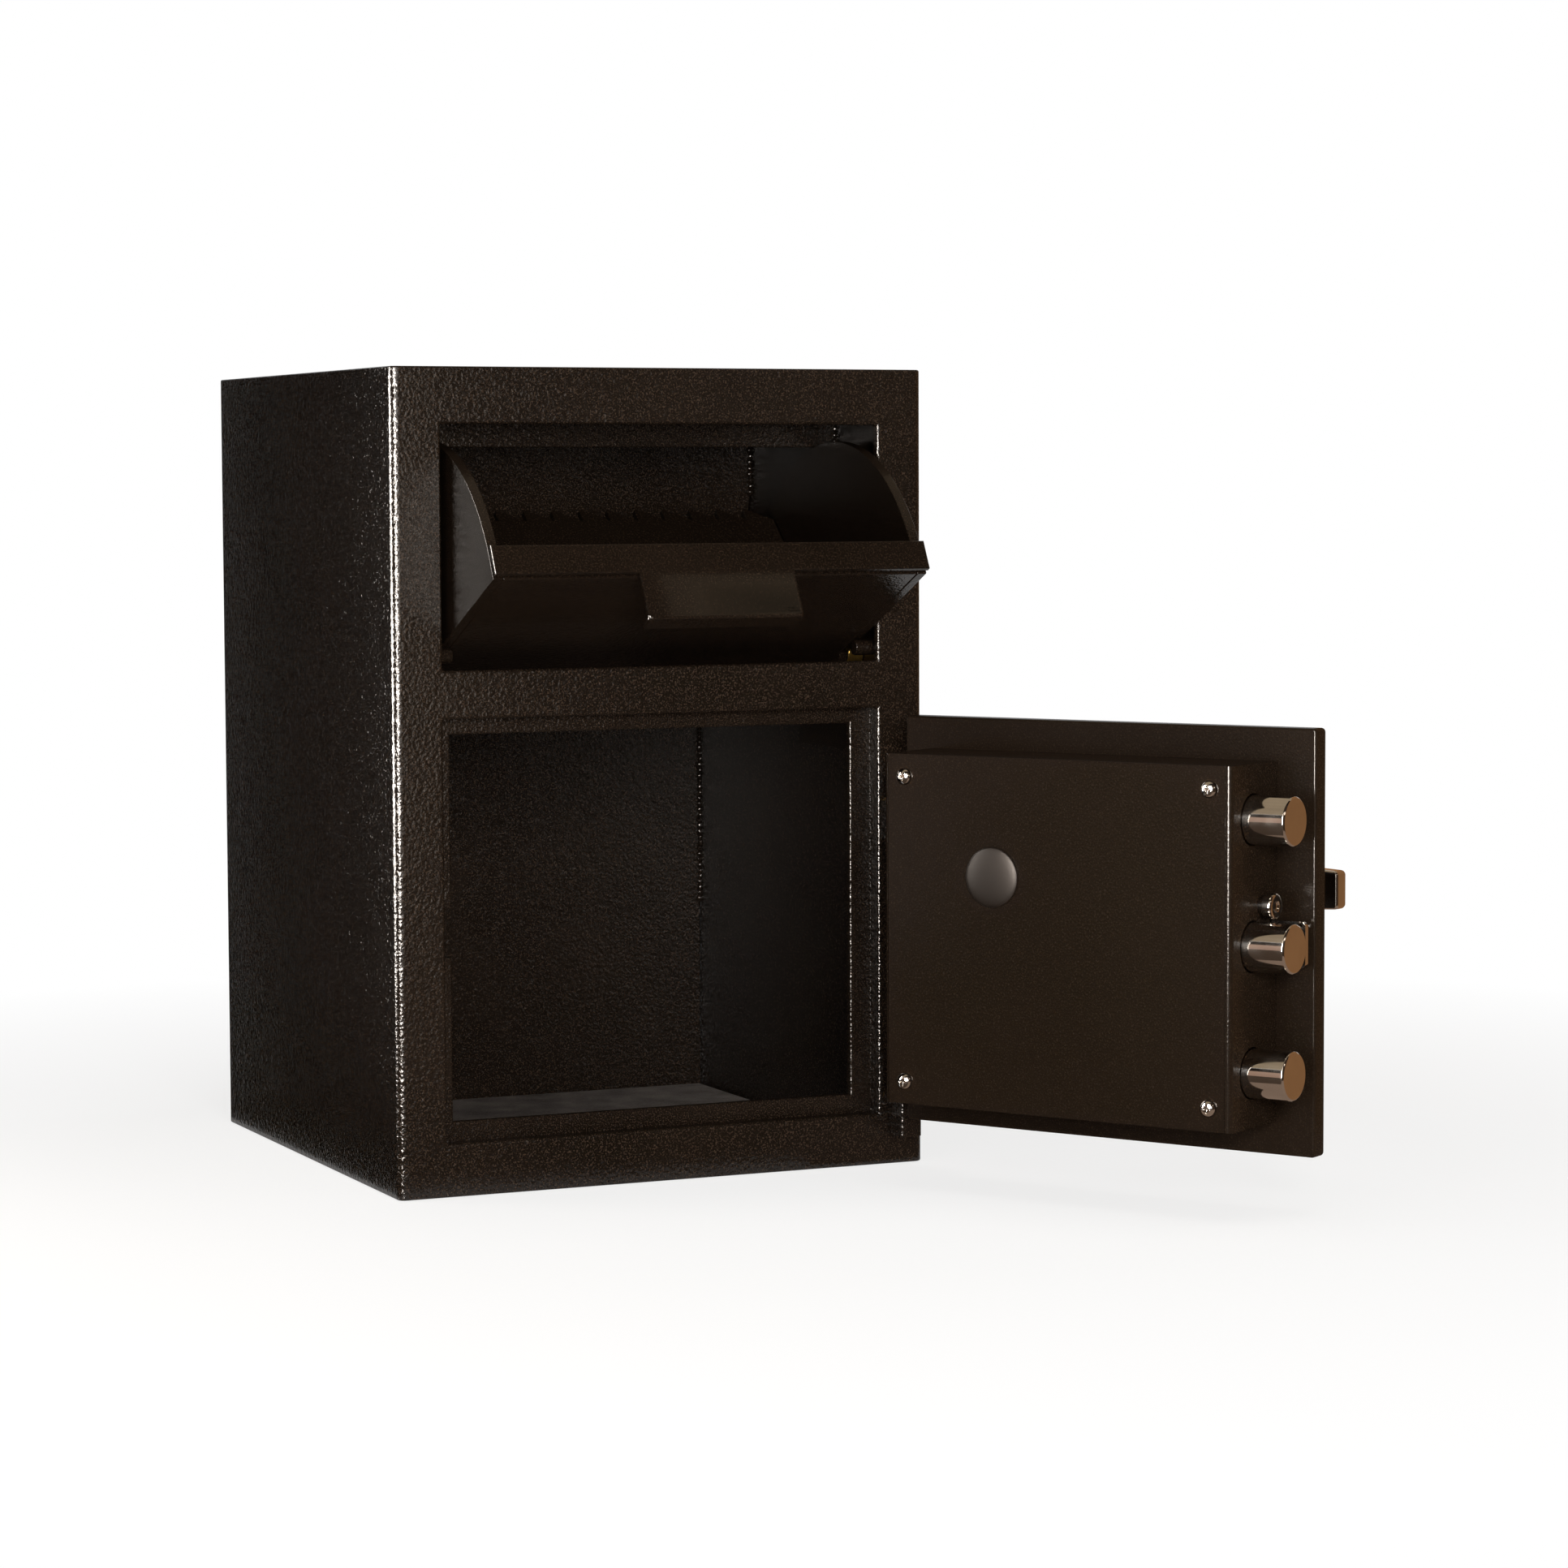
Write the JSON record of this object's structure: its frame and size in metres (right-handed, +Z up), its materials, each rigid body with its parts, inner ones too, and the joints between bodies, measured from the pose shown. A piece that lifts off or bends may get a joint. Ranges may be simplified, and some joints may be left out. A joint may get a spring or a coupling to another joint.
{
  "type": "drop safe with tilting deposit drawer",
  "caption": "Front-loading drop safe with a tilting deposit drawer above a hinged door with round locking bolts, a lever handle and a combination dial.",
  "frame": {"origin": "centre of the body's footprint, on the floor plane", "axes": "+Z up; the door, drawer and handle are on the -Y front; +X to the right seen from the front, where the door's hinges are"},
  "size_m": [0.526, 0.6624, 0.508],
  "materials": {
    "black_enamel": "black-brown textured enamel, semi-gloss, fine orange peel",
    "chrome": "bright polished chrome",
    "zinc": "bright zinc plate",
    "brass": "plain turned brass",
    "black_plastic": "smooth black plastic, soft sheen",
    "grey_carpet": "charcoal needle-felt mat",
    "dial_black": "satin black dial with white marks"
  },
  "bodies": {
    "body": {"body_wrap": "black_enamel", "top_plate": "black_enamel", "bottom_plate": "black_enamel", "back_plate": "black_enamel", "floor_mat": "grey_carpet", "door_stop_frame": "black_enamel", "drawer_header": "black_enamel", "baffle_plate": "black_enamel", "left_drawer_side_plate": "black_enamel", "right_drawer_side_plate": "black_enamel", "left_pivot_bush": "brass", "right_pivot_bush": "brass", "left_drawer_stop_peg": "black_enamel", "right_drawer_stop_peg": "black_enamel", "lower_hinge_block": "black_enamel", "upper_hinge_block": "black_enamel", "lower_hinge_washer": "brass", "upper_hinge_washer": "brass", "lower_hinge_pin": "zinc", "upper_hinge_pin": "zinc"},
    "drawer": {"drawer_panel": "black_enamel", "drawer_lip": "black_enamel", "toothed_back_plate": "black_enamel", "left_drawer_cheek": "black_enamel", "right_drawer_cheek": "black_enamel", "left_pivot_pin": "zinc", "right_pivot_pin": "zinc"},
    "door": {"door_plate": "black_enamel", "boltwork_frame": "black_enamel", "boltwork_cover": "black_enamel", "cover_screw_1": "chrome", "cover_screw_2": "chrome", "cover_screw_3": "chrome", "cover_screw_4": "chrome", "hole_plug": "black_plastic", "stop_stud": "chrome", "guide_post_1": "zinc", "guide_post_2": "zinc", "lock_body": "zinc", "dial_ring": "chrome", "handle_rose": "chrome", "lower_hinge_ear": "black_enamel", "upper_hinge_ear": "black_enamel"},
    "handle": {"handle_lever": "chrome", "handle_spindle": "zinc", "handle_cam": "zinc", "cam_retainer": "zinc"},
    "bolts": {"bolt_carrier": "zinc", "locking_bolt_1": "chrome", "locking_bolt_2": "chrome", "locking_bolt_3": "chrome", "bolt_screw_1": "zinc", "bolt_screw_2": "zinc", "bolt_screw_3": "zinc"},
    "lock_bolt": {"lock_bolt": "brass"},
    "dial": {"lock_dial": "dial_black", "dial_spindle": "zinc"}
  },
  "joints": [
    {"name": "door_hinge", "type": "hinge", "parent": "body", "child": "door", "pos_m": [0.16, -0.1878, 0.16215], "axis": [0, 0, -1], "range_deg": [-50, 121.5]},
    {"name": "drawer_tilt", "type": "hinge", "parent": "body", "child": "drawer", "pos_m": [0, -0.1322, 0.3277], "axis": [-1, 0, 0], "range_deg": [0, 65.4]},
    {"name": "handle_turn", "type": "hinge", "parent": "door", "child": "handle", "pos_m": [0.25388, -0.36014, 0.189], "axis": [-0.8526, -0.5225, 0], "range_deg": [0, 90]},
    {"name": "bolt_throw", "type": "slide", "parent": "door", "child": "bolts", "axis": [-0.5225, 0.8526, 0], "range_m": [0, 0.022]},
    {"name": "lock_bolt_slide", "type": "slide", "parent": "door", "child": "lock_bolt", "axis": [0, 0, 1], "range_m": [-0.01, 0]},
    {"name": "dial_turn", "type": "hinge", "parent": "door", "child": "dial", "pos_m": [0.2114, -0.29082, 0.1973], "axis": [-0.8526, -0.5225, 0], "continuous": true}
  ],
  "couplings": [
    {"joint": "bolt_throw", "follows": "handle_turn", "m_per_rad": 0.014005}
  ]
}
